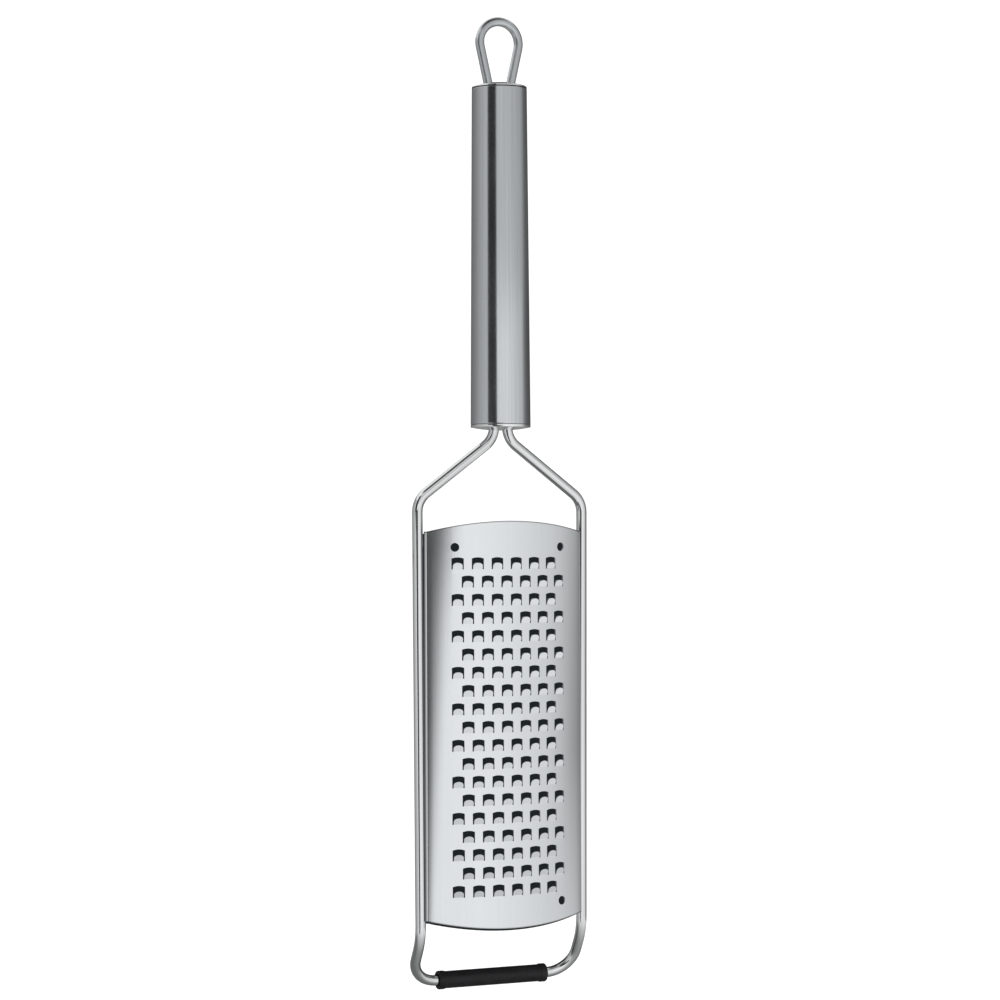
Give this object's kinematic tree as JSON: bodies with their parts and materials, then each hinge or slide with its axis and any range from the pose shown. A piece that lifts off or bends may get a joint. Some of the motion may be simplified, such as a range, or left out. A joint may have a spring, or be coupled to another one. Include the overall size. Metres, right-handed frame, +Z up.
{
  "type": "hand grater",
  "caption": "Steel hand grater with an arched punched blade in a bent wire frame, a tapered tube handle, a wire hanging loop and a black sleeve on the foot bar.",
  "frame": {"origin": "inside top of the hanging loop's eye, where a hook or pin carries the grater", "axes": "+X across the blade, to the right as seen from its toothed front; +Y to the back; +Z up along the handle"},
  "size_m": [0.0734, 0.0256, 0.3727],
  "materials": {
    "wire_steel": "satin drawn wire",
    "cap_steel": "turned and lightly polished",
    "handle_steel": "brushed along the tube",
    "blade_steel": "satin sheet",
    "sleeve_rubber": "matt black"
  },
  "bodies": {
    "root": {"hanging_loop": "wire_steel", "handle_top_cap": "cap_steel", "handle_tube": "handle_steel", "handle_bottom_cap": "cap_steel", "frame_wire": "wire_steel", "grater_blade": "blade_steel", "foot_sleeve": "sleeve_rubber"}
  },
  "joints": []
}
